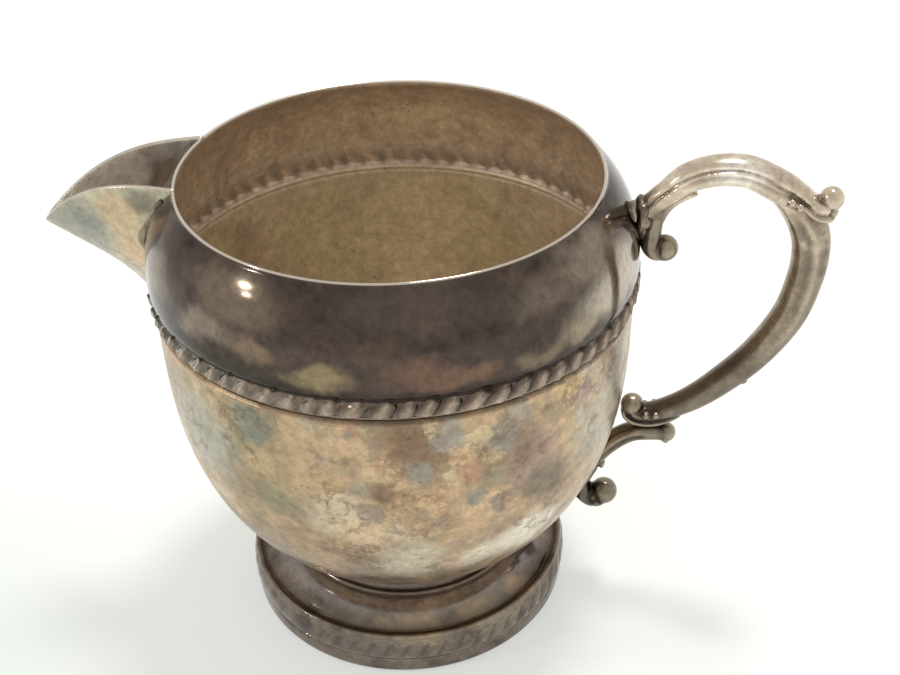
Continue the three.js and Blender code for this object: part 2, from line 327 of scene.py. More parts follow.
# Tarnish colours
DARK_BROWN = (0.055, 0.043, 0.037)
WARM_BROWN = (0.2, 0.135, 0.09)
TAN = (0.46, 0.345, 0.225)
PEACH = (0.61, 0.43, 0.265)
GOLD = (0.56, 0.415, 0.22)
STRAW = (0.6, 0.49, 0.31)
CREAM = (0.72, 0.63, 0.48)
PALE_GREY = (0.52, 0.49, 0.42)
BLUE_GREY = (0.26, 0.265, 0.235)
OLIVE = (0.32, 0.285, 0.2)
MAUVE = (0.38, 0.285, 0.265)
RUST = (0.43, 0.265, 0.185)
RIM_SILVER = (0.66, 0.6, 0.52)

# Stains, some of them painted reflections and highlights: angle round the axis in degrees (0 at the
# handle), height, radius, colour, strength.
# Flakes are crisp stains, as where a film of tarnish has come off.
LOWER_STAINS_AND_REFLECTIONS = [
    (-135, 56, 13, PALE_GREY, 0.7),
    (-101, 58, 10, PEACH, 0.75),
    (-98, 48, 8, CREAM, 0.6),
    (-112, 49, 6, OLIVE, 0.75),
    (-78, 65, 8.5, (0.24, 0.165, 0.11), 0.95),
    (-70, 64, 6, (0.26, 0.19, 0.13), 0.8),
    (-86, 54.5, 4.4, (0.17, 0.12, 0.085), 0.8),
    (-52, 56, 8, MAUVE, 0.7),
    (-47, 50, 7, (0.22, 0.185, 0.14), 0.85),
    (-58, 59, 8, (0.27, 0.205, 0.15), 0.75),
    (-24, 55, 15, (0.52, 0.475, 0.39), 0.7),
    # the next two pale patches low on the front right are partly cleaner silver and partly a
    # painted reflection of the floor
    (-50, 36.5, 8, (0.88, 0.82, 0.68), 0.9),
    (-63, 35, 6, (0.82, 0.74, 0.58), 0.9),
    (-92, 45, 6, (0.72, 0.55, 0.37), 0.8),
    (-82, 37, 9, (0.66, 0.6, 0.46), 0.85),
    (120, 52, 10, PEACH, 0.7),
    (70, 55, 9, WARM_BROWN, 0.7),
]
LOWER_FLAKES = [
    (-116, 64.5, 4.6, BLUE_GREY, 0.85),
    (-106, 67, 3, PEACH, 0.8),
    (-100, 61, 1.8, MAUVE, 0.8),
    (-79, 59, 3, BLUE_GREY, 0.8),
    (-76, 52.5, 4, PEACH, 0.85),
    (-84, 45.5, 2.6, CREAM, 0.6),
    (-90, 50, 3, (0.25, 0.22, 0.19), 0.7),
    (-72, 66, 4.4, (0.38, 0.36, 0.31), 0.75),
    (-61, 63, 3.8, BLUE_GREY, 0.8),
    (-66, 64, 3, STRAW, 0.9),
    (-62, 60, 2, STRAW, 0.8),
    (-70, 61, 2.6, PEACH, 0.9),
    (-71, 57.5, 2.2, STRAW, 0.8),
    (-57, 66.5, 3.4, (0.36, 0.33, 0.28), 0.8),
    (-76, 68, 2, STRAW, 0.7),
    (-68, 68.3, 1.8, GOLD, 0.8),
    (-41, 67, 3, GOLD, 0.8),
    (-95, 60, 2.6, OLIVE, 0.6),
    (-92, 56, 2.4, BLUE_GREY, 0.5),
    (-68, 57.5, 3, RUST, 0.85),
    (-62, 55.5, 2.6, OLIVE, 0.8),
    (-66, 51.5, 2.4, BLUE_GREY, 0.75),
    (-60, 49, 3, (0.24, 0.22, 0.2), 0.75),
    (-38, 64, 2.8, MAUVE, 0.9),
    (-45, 68, 2.6, GOLD, 0.9),
    (-47, 63.5, 2.8, OLIVE, 0.7),
    (-55, 58, 2.2, (0.24, 0.15, 0.11), 0.8),
    (-50, 58, 2, (0.26, 0.17, 0.12), 0.7),
    (150, 60, 7, BLUE_GREY, 0.7),
    (95, 66, 5, MAUVE, 0.7),
    (45, 62, 4, STRAW, 0.8),
    (40, 45, 5, BLUE_GREY, 0.7),
]
SHOULDER_STAINS_AND_REFLECTIONS = [
    (-98, 77.2, 7, (0.27, 0.21, 0.13), 0.95),
    (-113, 79.5, 7, (0.21, 0.155, 0.11), 0.9),
    (-128, 80, 8, (0.26, 0.21, 0.165), 0.8),
    (-76, 77.8, 9, (0.165, 0.105, 0.078), 0.95),
    (-66, 77, 5, (0.19, 0.12, 0.085), 0.8),
    (-78, 87.5, 14, (0.125, 0.1, 0.086), 0.8),
    (-88, 82, 6, (0.12, 0.085, 0.065), 0.7),
    (-46, 86, 12, (0.2, 0.16, 0.13), 0.85),
    (-52, 76.6, 6, (0.2, 0.165, 0.115), 0.85),
    (-40, 78, 8, (0.27, 0.225, 0.16), 0.9),
    # painted reflection: the next two pale patches on the right of the shoulder stand for bright
    # surroundings seen at a grazing angle
    (-24, 80, 16, (0.5, 0.44, 0.36), 0.9),
    (-30, 87, 11, (0.29, 0.24, 0.19), 0.85),
    # the next two are partly tarnish and partly a painted reflection of bright surroundings on the
    # left of the shoulder
    (-120, 86, 14, (0.23, 0.185, 0.14), 0.85),
    (-152, 82, 12, (0.24, 0.205, 0.165), 0.8),
    (-60, 86, 7, (0.1, 0.085, 0.072), 0.7),
    (110, 80, 9, (0.2, 0.15, 0.1), 0.8),
    (60, 84, 9, (0.22, 0.18, 0.13), 0.8),
]
FOOT_STAINS_AND_HIGHLIGHT = [
    # the first four make a golden band along the front of the dome's outer edge: partly a gold
    # patch of tarnish and partly a painted highlight
    (-58, 9.6, 5, (0.36, 0.28, 0.18), 0.9),
    (-80, 9.3, 6, (0.4, 0.32, 0.22), 0.9),
    (-94, 9.3, 4, (0.36, 0.28, 0.19), 0.8),
    (-38, 10.2, 4, (0.44, 0.32, 0.2), 0.9),
    (-48, 7, 9, (0.28, 0.24, 0.19), 0.8),
    (-100, 6, 9, (0.2, 0.175, 0.15), 0.7),
    (120, 9, 9, (0.3, 0.23, 0.15), 0.8),
]


def fine_surface(tree, colour, spots=0.45):
    """Small dark specks and a mottled grain over a colour."""
    speck = tree.fade(tree.noise(0.8, 2, 0.5, 3.1), 0.64, 0.72)
    clumps = tree.fade(tree.noise(7, 2, 0.5, 6.4), 0.45, 0.6, 0.25, 1.0)
    colour = tree.cover(colour, DARK_BROWN, tree.times(speck, clumps), spots)
    grain = tree.noise(1.8, 6, 0.75, 1.7)
    shade = tree.ramp(grain, [(0.32, (0.74, 0.73, 0.72)), (0.68, (1.2, 1.2, 1.19))])
    return tree.mix(1.0, colour, shade, "MULTIPLY")


def paint_stains_and_light(tree, colour, stains_and_light, reach, squash=1.0):
    """Soft stains, some of them painted reflections and highlights. reach(height) is the surface's
    radius, where a patch's middle lies.
    """
    place = tree.warped(7, 3.6)
    for angle, height, radius, paint, strength in stains_and_light:
        spot = (angle, reach(height), height)
        colour = tree.paint_patch(colour, place, spot, radius, paint, strength, 0.65, squash)
    return colour


def paint_flakes(tree, colour):
    """Mottled stains on the lower bowl, with edges half made of chips and half frayed."""
    half = (0.5, 0.5, 0.5)
    chipped = tree.vector("MULTIPLY", tree.chips(1.7, tree.warped(2.0, 1.7)), half)
    frayed = tree.vector("MULTIPLY", tree.warped(3, 2.6), half)
    place = tree.vector("ADD", chipped, frayed)
    mottle = tree.fade(tree.noise(2.2, 6, 0.75, 5.9), 0.34, 0.56, 0.35, 1.0)
    for angle, height, radius, paint, strength in LOWER_FLAKES:
        spot = (angle, bowl_radius(height), height)
        colour = tree.paint_patch(colour, place, spot, radius, paint, tree.times(mottle, strength), 0.4)
    return colour


def bare_rim(tree, colour, height):
    """Silver rubbed bright along the top of the bowl's rim."""
    return tree.mix(tree.fade(height, RIM_HEIGHT - 0.3, RIM_HEIGHT - 0.15), colour, RIM_SILVER)


def bowl_material():
    tree = new_tree("tarnished_bowl")
    height = tree.height()
    place = tree.warped(9, 3.5)
    broad = tree.noise(13, 7, 0.66, 0.0, place)
    lower = tree.ramp(broad, [
        (0.3, OLIVE), (0.4, (0.37, 0.28, 0.19)), (0.5, TAN), (0.59, PEACH), (0.7, CREAM),
    ])
    patch = tree.cells(2.6, tree.warped(2.6, 1.6))
    patches = tree.ramp(patch, [
        (0.0, BLUE_GREY), (0.22, STRAW), (0.36, MAUVE), (0.5, OLIVE), (0.66, PALE_GREY),
        (0.8, RUST), (0.9, TAN),
    ], constant=True)
    where = tree.fade(tree.noise(20, 3, 0.6, 4.3), 0.5, 0.6)
    fleck = tree.fade(tree.noise(2.4, 6, 0.75, 9.1), 0.42, 0.56, 0.0, 0.62)
    lower = tree.cover(lower, patches, where, fleck)
    lower = paint_stains_and_light(tree, lower, LOWER_STAINS_AND_REFLECTIONS, bowl_radius)
    lower = paint_flakes(tree, lower)
    vein_noise = tree.noise(7, 5, 0.62, 2.6, tree.warped(4, 1.5))
    away = tree.math("ABSOLUTE", tree.math("SUBTRACT", vein_noise, 0.5))
    vein = tree.fade(away, 0.05, 0.0, 0.0, 0.55)
    clear = tree.fade(tree.noise(11, 3, 0.6, 8.2), 0.44, 0.58)
    lower = tree.cover(lower, (0.2, 0.13, 0.085), vein, clear)
    # above the step the colour is much darker: partly the shoulder's own tarnish and partly a
    # painted reflection of a dark room above
    shoulder = tree.ramp(tree.noise(11, 7, 0.66, 7.7, place), [
        (0.36, (0.05, 0.039, 0.035)), (0.48, (0.083, 0.065, 0.058)), (0.56, (0.088, 0.067, 0.058)),
        (0.7, (0.15, 0.105, 0.075)),
    ])
    shoulder = paint_stains_and_light(tree, shoulder, SHOULDER_STAINS_AND_REFLECTIONS, bowl_radius, 2.6)
    above_step = tree.fade(height, 73.0, 74.2)
    colour = tree.mix(above_step, lower, shoulder)
    rope_band = tree.between(height, 69.9, 70.4, 73.4, 74.0)
    rope = tree.ramp(tree.noise(3, 6, 0.7, 3.3), [
        (0.36, (0.26, 0.205, 0.17)), (0.62, (0.54, 0.435, 0.36)),
    ])
    colour = tree.cover(colour, rope, rope_band, 0.9)
    # the groove attribute: dark in the rope's notches, with painted shade on one side of each lobe
    # and painted shadow lines above and below the rope
    colour = tree.cover(colour, (0.026, 0.019, 0.016), tree.attribute("groove"), 0.93)
    colour = bare_rim(tree, fine_surface(tree, colour), height)
    dull = tree.fade(height, 66.0, 78.0, 0.27, 0.1)
    blotch = tree.fade(tree.noise(6, 5, 0.65, 2.2), 0.3, 0.7, 0.9, 1.5)
    tree.bump(tree.noise(6, 3, 0.5, 5.5), 0.06, 0.4)
    return tree.finish(colour, tree.times(dull, blotch), 1.0)


def inside_material():
    tree = new_tree("tarnished_inside")
    place = tree.warped(7, 3)
    broad = tree.noise(10, 7, 0.66, 1.3, place)
    colour = tree.ramp(broad, [
        (0.3, (0.46, 0.36, 0.26)), (0.45, (0.64, 0.53, 0.4)), (0.58, (0.73, 0.62, 0.46)),
        (0.7, (0.8, 0.71, 0.53)),
    ])
    height = tree.height()
    upper = tree.fade(height, 69.0, 70.5)
    olive_patch = tree.fade(tree.noise(24, 3, 0.5, 12.3), 0.46, 0.6)
    colour = tree.cover(colour, (0.64, 0.58, 0.4), olive_patch, 0.5)
    brown = tree.ramp(tree.noise(5, 7, 0.7, 3.6, place), [
        (0.36, (0.45, 0.34, 0.26)), (0.48, (0.6, 0.47, 0.36)), (0.58, (0.7, 0.55, 0.41)),
        (0.68, (0.84, 0.72, 0.58)),
    ])
    colour = tree.cover(colour, brown, upper, 0.8)
    near_rim = tree.fade(height, 80.0, 90.0, 0.0, 0.5)
    colour = tree.mix(near_rim, colour, (0.48, 0.4, 0.34))
    spots = tree.between(height, 69.5, 72.0, 74.0, 80.0)
    pale = tree.fade(tree.noise(2.6, 5, 0.6, 6.6, place), 0.52, 0.62, 0.0, 0.6)
    colour = tree.cover(colour, (0.74, 0.66, 0.56), pale, spots)
    # the groove attribute inside: the rope's notches, with painted shade on one side of each dimple
    colour = tree.cover(colour, (0.28, 0.235, 0.195), tree.attribute("groove"), 0.75)
    pale_line = tree.between(height, 68.2, 68.6, 69.0, 69.4)
    colour = tree.cover(colour, (0.86, 0.8, 0.68), pale_line, 0.6)
    colour = bare_rim(tree, fine_surface(tree, colour), height)
    rough = tree.fade(tree.noise(8, 4, 0.6, 2.2), 0.3, 0.7, 0.42, 0.55)
    tree.bump(tree.noise(5, 3, 0.5, 5.5), 0.06, 0.4)
    return tree.finish(colour, rough, 0.6)


def solder_material():
    tree = new_tree("old_solder")
    colour = tree.ramp(tree.noise(3, 5, 0.6, 2.9, tree.warped(6, 2)), [
        (0.34, (0.15, 0.12, 0.095)), (0.5, (0.25, 0.2, 0.155)), (0.66, (0.38, 0.31, 0.23)),
    ])
    colour = tree.cover(colour, DARK_BROWN, tree.attribute("groove"), 0.8)
    tree.bump(tree.noise(3, 4, 0.5, 8.5), 0.08, 0.25)
    return tree.finish(fine_surface(tree, colour), tree.gloss(0.22, 0.36), 1.0)


def foot_radius(height):
    """Where the foot's stains lie: on the border below its top edge, and on the dome above."""
    return 31.0 if height < BORDER_TOP else 28.3


def foot_material():
    tree = new_tree("tarnished_foot")
    colour = tree.ramp(tree.noise(7, 7, 0.66, 2.9, tree.warped(6, 2)), [
        (0.34, (0.105, 0.085, 0.073)), (0.48, (0.195, 0.162, 0.135)), (0.58, (0.24, 0.2, 0.165)),
        (0.7, (0.32, 0.255, 0.185)),
    ])
    raised = tree.fade(tree.height(), 9.9, 11.2, 0.0, 0.75)
    colour = tree.mix(raised, colour, (0.29, 0.262, 0.255))
    colour = paint_stains_and_light(tree, colour, FOOT_STAINS_AND_HIGHLIGHT, foot_radius, 1.5)
    # groove here is painted shade in the dome's valley and under the bowl, and dark between the
    # gadroons
    colour = tree.cover(colour, (0.065, 0.052, 0.045), tree.attribute("groove"), 0.75)
    tree.bump(tree.noise(3, 4, 0.5, 8.5), 0.08, 0.25)
    return tree.finish(fine_surface(tree, colour), tree.gloss(0.08, 0.2), 0.85)


def spout_material():
    tree = new_tree("tarnished_spout")
    place = tree.warped(6, 2.4)
    colour = tree.ramp(tree.noise(9, 7, 0.66, 2.9, place), [
        (0.34, (0.42, 0.37, 0.3)), (0.46, (0.56, 0.49, 0.385)), (0.58, (0.64, 0.565, 0.45)),
        (0.7, CREAM),
    ])
    gold = (0.72, 0.52, 0.35)
    tip = (180, 57, 79)
    # painted shade: root_top marks a dark patch where the top of the spout meets the bowl
    root_top = (-168, 42.5, 87)
    for spot, radius, paint, strength in (
        (tip, 12, (0.4, 0.385, 0.35), 0.8), ((-175, 53, 81), 4, (0.3, 0.305, 0.29), 0.6),
        ((-170, 47, 84), 6.5, gold, 0.9), ((-173, 45, 77), 6, gold, 0.9),
        ((163, 46, 78), 8, gold, 0.9), (root_top, 4.5, (0.26, 0.21, 0.17), 0.8),
    ):
        colour = tree.paint_patch(colour, place, spot, radius, paint, strength, 0.6)
    inner = tree.ramp(tree.noise(7, 5, 0.6, 4.9, place), [
        (0.36, (0.6, 0.55, 0.49)), (0.6, (0.68, 0.64, 0.58)),
    ])
    colour = tree.mix(tree.attribute("inside"), colour, inner)
    colour = fine_surface(tree, colour)
    colour = tree.cover(colour, RIM_SILVER, tree.attribute("edge"), 0.7)
    tree.bump(tree.noise(4, 4, 0.5, 8.5), 0.06, 0.3)
    return tree.finish(colour, tree.gloss(0.2, 0.34), 0.95)


def handle_material():
    """Paler towards the top and darker towards the bowl, with a painted highlight on the crown of
    the arch.
    """
    tree = new_tree("tarnished_handle")
    place = tree.warped(5, 2)
    level = tree.math("ADD", tree.height(), tree.fade(tree.noise(6, 4, 0.6, 1.1), 0.3, 0.7, -5, 5))
    colour = tree.ramp(tree.math("DIVIDE", level, 100.0), [
        (0.18, (0.034, 0.027, 0.022)), (0.36, (0.08, 0.066, 0.053)), (0.48, (0.12, 0.099, 0.081)),
        (0.66, (0.29, 0.242, 0.192)), (0.79, (0.28, 0.23, 0.182)), (0.87, (0.68, 0.585, 0.48)),
    ])
    curl = (0, 45, 77)
    collar = (0, 42, 84)
    painted_crown_highlight = (-3, 58, 92)
    colour = tree.paint_patch(colour, place, curl, 10, (0.13, 0.108, 0.086), 0.9, 0.45)
    colour = tree.paint_patch(colour, place, collar, 7, (0.24, 0.19, 0.14), 0.7, 0.6)
    # painted highlight: a near-white patch on the crown of the arch
    colour = tree.paint_patch(colour, tree.place, painted_crown_highlight, 6, (0.95, 0.91, 0.86), 0.9, 0.7, 1.6)
    shade = tree.ramp(tree.noise(3.5, 6, 0.66, 2.9, place), [
        (0.35, (0.76, 0.74, 0.72)), (0.65, (1.16, 1.16, 1.13)),
    ])
    colour = tree.mix(1.0, colour, shade, "MULTIPLY")
    colour = tree.cover(colour, DARK_BROWN, tree.attribute("groove"), 0.85)
    colour = tree.cover(colour, CREAM, tree.attribute("worn"), 0.45)
    colour = fine_surface(tree, colour, 0.25)
    rough = tree.times(tree.gloss(0.8, 1.2), tree.fade(tree.height(), 70, 88, 0.28, 0.16))
    tree.bump(tree.noise(2.5, 4, 0.5, 8.5), 0.08, 0.2)
    return tree.finish(colour, rough, 0.85)


# ---- Bowl

ROPE_LOBES = 72
ROPE_LOW = 70.35
ROPE_HIGH = 73.75
ROPE_RELIEF = 0.85
RIM_START = RIM_HEIGHT - 0.45     # where the wall ends and the rounded rim begins
COARSE = 252                      # points round a plain stretch of the bowl
FINE = ROPE_LOBES * 14            # points round the rope band
PORT_HALF_WIDTH = 6.2
PORT_HALF_HEIGHT = 5.0
PORT_LEVEL = 82.2


def superellipse(share):
    return (1 - share ** ROUNDNESS) ** (1 / ROUNDNESS)


SHOULDER_SPAN = (RIM_HEIGHT - SHOULDER_HEIGHT) / superellipse(RIM_RADIUS / SHOULDER_RADIUS)


def bowl_radius(height):
    if height <= BELLY_HEIGHT:
        return BELLY_RADIUS * superellipse((BELLY_HEIGHT - height) / (BELLY_HEIGHT - BOWL_BOTTOM))
    if height < SHOULDER_HEIGHT:
        step = min(max((height - STEP_LOW) / (SHOULDER_HEIGHT - STEP_LOW), 0), 1)
        return BELLY_RADIUS + (SHOULDER_RADIUS - BELLY_RADIUS) * step
    return SHOULDER_RADIUS * superellipse((height - SHOULDER_HEIGHT) / SHOULDER_SPAN)


def rope_relief(angle, height, top_edge):
    """Relief of the embossed rope at a height: (how far it stands out, how dark it is: deep in a
    notch, with painted shade on one side of each lobe, broader towards the band's top).
    top_edge is the share of the band's height over which its top runs out."""
    across = (height - ROPE_LOW) / (ROPE_HIGH - ROPE_LOW)
    inside_band = np.clip(across, 0, 1)
    slant = 0.68 * inside_band ** 1.1
    phase = (angle * ROPE_LOBES / TURN + 0.16 * wobble(angle, 5, 9, 11) - slant) % 1
    lobe = np.sin(math.pi * phase ** 1.3) ** (0.6 + 0.8 * inside_band)
    left = bell(angle, math.radians(245), 0.5)
    lines = (0.1 + 0.16 * left) * np.cos(TURN * 3.5 * phase) * lobe
    top = 1 + 0.1 * wobble(angle, 8, 9, 31) - 0.5 * (2 * phase - 1) ** 2
    cover = smooth_step(top - across, -0.02, top_edge) * smooth_step(across, -0.02, 0.1)
    worn = 1 - 0.3 * left
    stand = ROPE_RELIEF * (0.12 + 0.88 * worn * (lobe + lines)) * cover
    # painted shade: one side of each lobe is darkened, more so towards the band's top
    shaded = 0.9 * smooth_step(phase + 0.55 * inside_band, 0.6, 1.1)
    notch = np.maximum((1 - lobe) ** 0.85, shaded) * smooth_step(across, -0.1, 0.0) * (across < 1.1)
    return stand, notch * worn


def band_ring(height, count, scale, sheet):
    """A ring of the rope band and of the lines beside it, with how dark each of its points is."""
    angle = np.arange(count) * TURN / count
    stand, notch = rope_relief(angle, height, 0.85 if sheet else 0.22)
    line = 0.22 * bell(height, 68.75, 0.26) - 0.38 * bell(height, 69.45, 0.34)
    if sheet:
        # the step under the shoulder is sharp outside and gentle inside
        step = smooth_step(height, 69.3, BAND_HIGH)
        wall = BELLY_RADIUS + (SHOULDER_RADIUS - BELLY_RADIUS) * step - sheet
        undercut = 0.0
    else:
        wall = bowl_radius(height)
        undercut = -0.25 * bell(height, 74.0, 0.3)
    radius = wall + scale * (stand + undercut) + line
    shadow = bell(height, 69.55, 0.45)
    shadow = shadow + (0.75 + 0.25 * wobble(angle, 3)) * bell(height, 74.1, 0.6)
    inner_fade = 1 - 0.7 * smooth_step(height, 71.5, 74.0)
    shade = inner_fade * notch if sheet else notch + shadow
    return turned(radius, height, count), np.clip(shade, 0, 1)


def bowl_rings(outer):
    """Rings from the middle of the bottom to the rim, on the outside or the inside."""
    sheet = 0 if outer else SHEET
    fine = FINE if outer else FINE // 2
    scale = 1.0 if outer else 0.7
    rings = []
    lower_steps = 30
    for i in range(1, lower_steps + 1):
        angle = math.pi / 2 * i / lower_steps
        radius = (BELLY_RADIUS - sheet) * math.sin(angle) ** (2 / ROUNDNESS)
        drop = (BELLY_HEIGHT - BOWL_BOTTOM - sheet) * math.cos(angle) ** (2 / ROUNDNESS)
        rings.append(turned(radius, BELLY_HEIGHT - drop, COARSE))
    for height in (64.5, 66.5, 67.8):
        rings.append(turned(BELLY_RADIUS - sheet, height, COARSE))
    dark = [np.zeros(COARSE)] * len(rings)
    rows = 39 if outer else 26
    for i in range(rows + 1):
        ring, shade = band_ring(BAND_LOW + (BAND_HIGH - BAND_LOW) * i / rows, fine, scale, sheet)
        rings.append(ring)
        dark.append(shade)
    shoulder_steps = 20
    for i in range(1, shoulder_steps + 1):
        rise = (RIM_START - BAND_HIGH) * (1 - (1 - i / shoulder_steps) ** 1.3)
        height = BAND_HIGH + rise
        slope = (bowl_radius(height + 0.05) - bowl_radius(height - 0.05)) / 0.1
        length = math.hypot(1, slope)
        radius = bowl_radius(height) - sheet / length
        rings.append(turned(radius, height + sheet * slope / length * 0.4, COARSE))
    return rings, dark + [np.zeros(COARSE)] * shoulder_steps


def cut_port(bowl):
    """Cuts the oval opening through the wall behind the spout."""
    count = 48
    # half a step round, so that no corner of the cutter falls on a line of the bowl's mesh
    angle = (np.arange(count) + 0.5) * TURN / count
    rings = [
        np.stack([
            np.full(count, -x),
            PORT_HALF_WIDTH * np.cos(angle),
            PORT_LEVEL + PORT_HALF_HEIGHT * np.sin(angle),
        ], axis=1)
        for x in (45.0, 34.0)
    ]
    points, faces = stack_rings(rings, ends=True)
    cutter = add_object("port_cutter", make_mesh("port_cutter", points, faces))
    cut = bowl.modifiers.new("port", "BOOLEAN")
    cut.operation = "DIFFERENCE"
    cut.solver = "EXACT"
    cut.object = cutter
    opened = with_modifiers(bowl)
    bowl.modifiers.clear()
    bowl.data = opened
    bpy.data.meshes.remove(cutter.data)


def make_bowl():
    outer, outer_dark = bowl_rings(True)
    inner, inner_dark = bowl_rings(False)
    outer_edge = outer[-1][0][0]
    inner_edge = inner[-1][0][0]
    start = outer[-1][0][2]
    middle = (outer_edge + inner_edge) / 2
    half = (outer_edge - inner_edge) / 2
    rim = []
    for i in range(1, 8):
        angle = math.pi * i / 8
        lift = (RIM_HEIGHT - start) * math.sin(angle)
        rim.append(turned(middle + half * math.cos(angle), start + lift, COARSE))
    # the two end rings are the outer and inner middle of the bottom, so both fans face outwards
    points, faces = stack_rings(outer + rim + inner[::-1], ends=True)
    dark = outer_dark + [np.zeros(COARSE)] * len(rim) + inner_dark[::-1] + [[0.0, 0.0]]
    bowl = make_piece(
        "jug_bowl", points, faces, "body_bowl", bowl_material(),
        {"groove": np.concatenate(dark)},
    )
    bowl.data.materials.append(inside_material())
    first_inside = sum(len(ring) for ring in outer + rim[:4])
    for polygon in bowl.data.polygons:
        if min(polygon.vertices) >= first_inside:
            polygon.material_index = 1
    cut_port(bowl)


# ---- Foot

def plain_relief(angle, radius, height):
    return 0, np.zeros_like(angle)


def spun_piece(name, profile, node, material, count=240, relief=plain_relief):
    """Turns a closed profile of (radius, height) about the axis. relief gives how far each point
    of a ring stands out and how dark it is."""
    rings = []
    dark = []
    angle = np.arange(count) * TURN / count
    for radius, height in profile:
        stand, shade = relief(angle, radius, height)
        rings.append(turned(radius + stand, height, count))
        dark.append(shade)
    points, faces = stack_rings(rings, closed=True)
    make_piece(name, points, faces, node, material, {"groove": np.concatenate(dark)})


def rounded_profile(corners, steps=4):
    """A closed outline through (radius, height, rounding) corners, each rounded by a curve."""
    outline = []
    for i, corner in enumerate(corners):
        here = np.array(corner[:2])
        ends = []
        for other in (corners[i - 1], corners[(i + 1) % len(corners)]):
            side = np.array(other[:2]) - here
            length = np.linalg.norm(side)
            ends.append(here + side / length * min(corner[2], 0.48 * length))
        for k in range(steps + 1):
            t = k / steps
            outline.append((1 - t) ** 2 * ends[0] + 2 * t * (1 - t) * here + t * t * ends[1])
    return outline


PEDESTAL = [
    (29.0, 3.5, 0.2), (30.1, 3.5, 0.2), (30.1, 8.95, 0.2), (29.3, 8.8, 0.7), (28.2, 9.7, 1.0),
    (26.0, 11.35, 1.2), (24.2, 12.1, 0.7), (23.3, 12.2, 0.3), (23.0, 12.55, 0.3), (22.2, 12.6, 0.3),
    (21.7, 13.1, 0.4), (21.35, 13.7, 0.3), (21.5, 14.1, 0.2), (21.2, 14.5, 0.2), (21.3, 15.0, 0.2),
    (20.4, 15.0, 0.2), (20.4, 12.0, 0.6), (23.4, 11.3, 0.8), (25.6, 10.5, 1.0), (27.6, 9.1, 1.0),
    (29.0, 7.8, 0.6),
]
BORDER = [
    (30.0, 3.5, 0.1), (31.3, 3.5, 0.35), (31.7, 4.3, 0.5), (31.75, 5.9, 0.8), (31.5, 7.4, 0.6),
    (31.1, 8.05, 0.15), (31.0, 8.3, 0.12), (31.3, 8.6, 0.25), (31.15, 9.2, 0.35), (30.7, 9.45, 0.3),
    (30.1, 9.15, 0.3), (29.9, 8.2, 0.1),
]
BASE_RING = [
    (29.0, 0.0, 0.2), (30.9, 0.0, 0.3), (31.4, 0.6, 0.4), (31.4, 3.0, 0.3), (31.2, 3.44, 0.2),
    (29.0, 3.44, 0.15),
]
GADROONS = 58
GADROON_LOW = 3.9
GADROON_HIGH = 7.9


def gadroon_relief(angle, radius, height):
    """Soft slanted lobes round the foot's border, nearly worn away towards the front left."""
    across = (height - GADROON_LOW) / (GADROON_HIGH - GADROON_LOW)
    cover = smooth_step(across, 0, 0.25) * smooth_step(1 - across, 0, 0.2) * (radius >= 30.9)
    phase = (angle * GADROONS / TURN - 0.7 * across) % 1
    lobe = np.sin(math.pi * phase) ** 0.8
    clear = 0.5 + 0.4 * np.cos(angle - math.radians(330))
    stand = 0.42 * clear * cover * (lobe - 0.75)
    return stand, clear * cover * (1 - lobe) ** 1.2


def dome_shade(angle, radius, height):
    """No relief, but painted shade in the valley by the border and under the bowl."""
    valley = smooth_step(radius, 27.2, 29.4)
    neck = 1 - smooth_step(radius, 22.6, 24.0)
    return 0, max(valley, 0.6 * neck) * (0.85 + 0.15 * wobble(angle, 21))


def make_foot(solder):
    silver = foot_material()
    spun_piece(
        "foot_dome", rounded_profile(PEDESTAL), "foot_pedestal", silver,
        relief=dome_shade,
    )
    spun_piece(
        "foot_gadroon_border", rounded_profile(BORDER, 6), "foot_border", silver,
        GADROONS * 14, gadroon_relief,
    )
    spun_piece("foot_ring", rounded_profile(BASE_RING), "foot_base_ring", silver)
    angles = np.arange(10) * TURN / 10
    wire = [(22.0 + 0.42 * math.cos(angle), 15.05 + 0.42 * math.sin(angle)) for angle in angles]
    spun_piece("foot_solder", wire, "foot_solder_ring", solder)


# ---- Spout

SPOUT_REACH = 61.9
SPOUT_ROOT = 34.5
ROOT_HALF_WIDTH = 10.3
TIP_HALF_WIDTH = 0.45
TIP_HEIGHT = 79.2
TIP_DEPTH = 0.6
KEEL_FOOT = 57.0
KEEL_WALL = 1.3


def spout_x(share):
    """The spout's reach at a share of the way back from its tip (0) to its root (1)."""
    return SPOUT_REACH - (SPOUT_REACH - SPOUT_ROOT) * share


def spout_half_width(share):
    return TIP_HALF_WIDTH + (ROOT_HALF_WIDTH - TIP_HALF_WIDTH) * share ** 0.58


def spout_rim(share):
    return RIM_HEIGHT - (RIM_HEIGHT - TIP_HEIGHT) * (1 - share) ** 2.75


def spout_keel(share):
    return max(TIP_HEIGHT - TIP_DEPTH - 17.5 * share - 53 * share ** 6, KEEL_FOOT)


def spout_point(share, side, inner=False):
    """A point of the spout's sheet. side runs from -1 (edge on -Y) by 0 (keel) to 1."""
    half = spout_half_width(share)
    keel = spout_keel(share)
    rim = spout_rim(share)
    if inner:
        keel += min(KEEL_WALL, 0.6 * (rim - keel))
        half -= min(SHEET, 0.6 * half)
    lift = abs(side) ** 1.7
    return (
        -spout_x(share),
        math.copysign(half * lift ** 0.55, side),
        keel + (rim - keel) * lift,
    )


def spout_contact(side, inner=False, depth=0.0):
    """The share at which the spout meets the bowl, or has sunk into it by a depth."""
    outside, inside = 0.0, 1.0
    for _ in range(30):
        share = (outside + inside) / 2
        x, y, z = spout_point(share, side, inner)
        if math.hypot(x, y) < bowl_radius(z) - depth:
            inside = share
        else:
            outside = share
    return inside


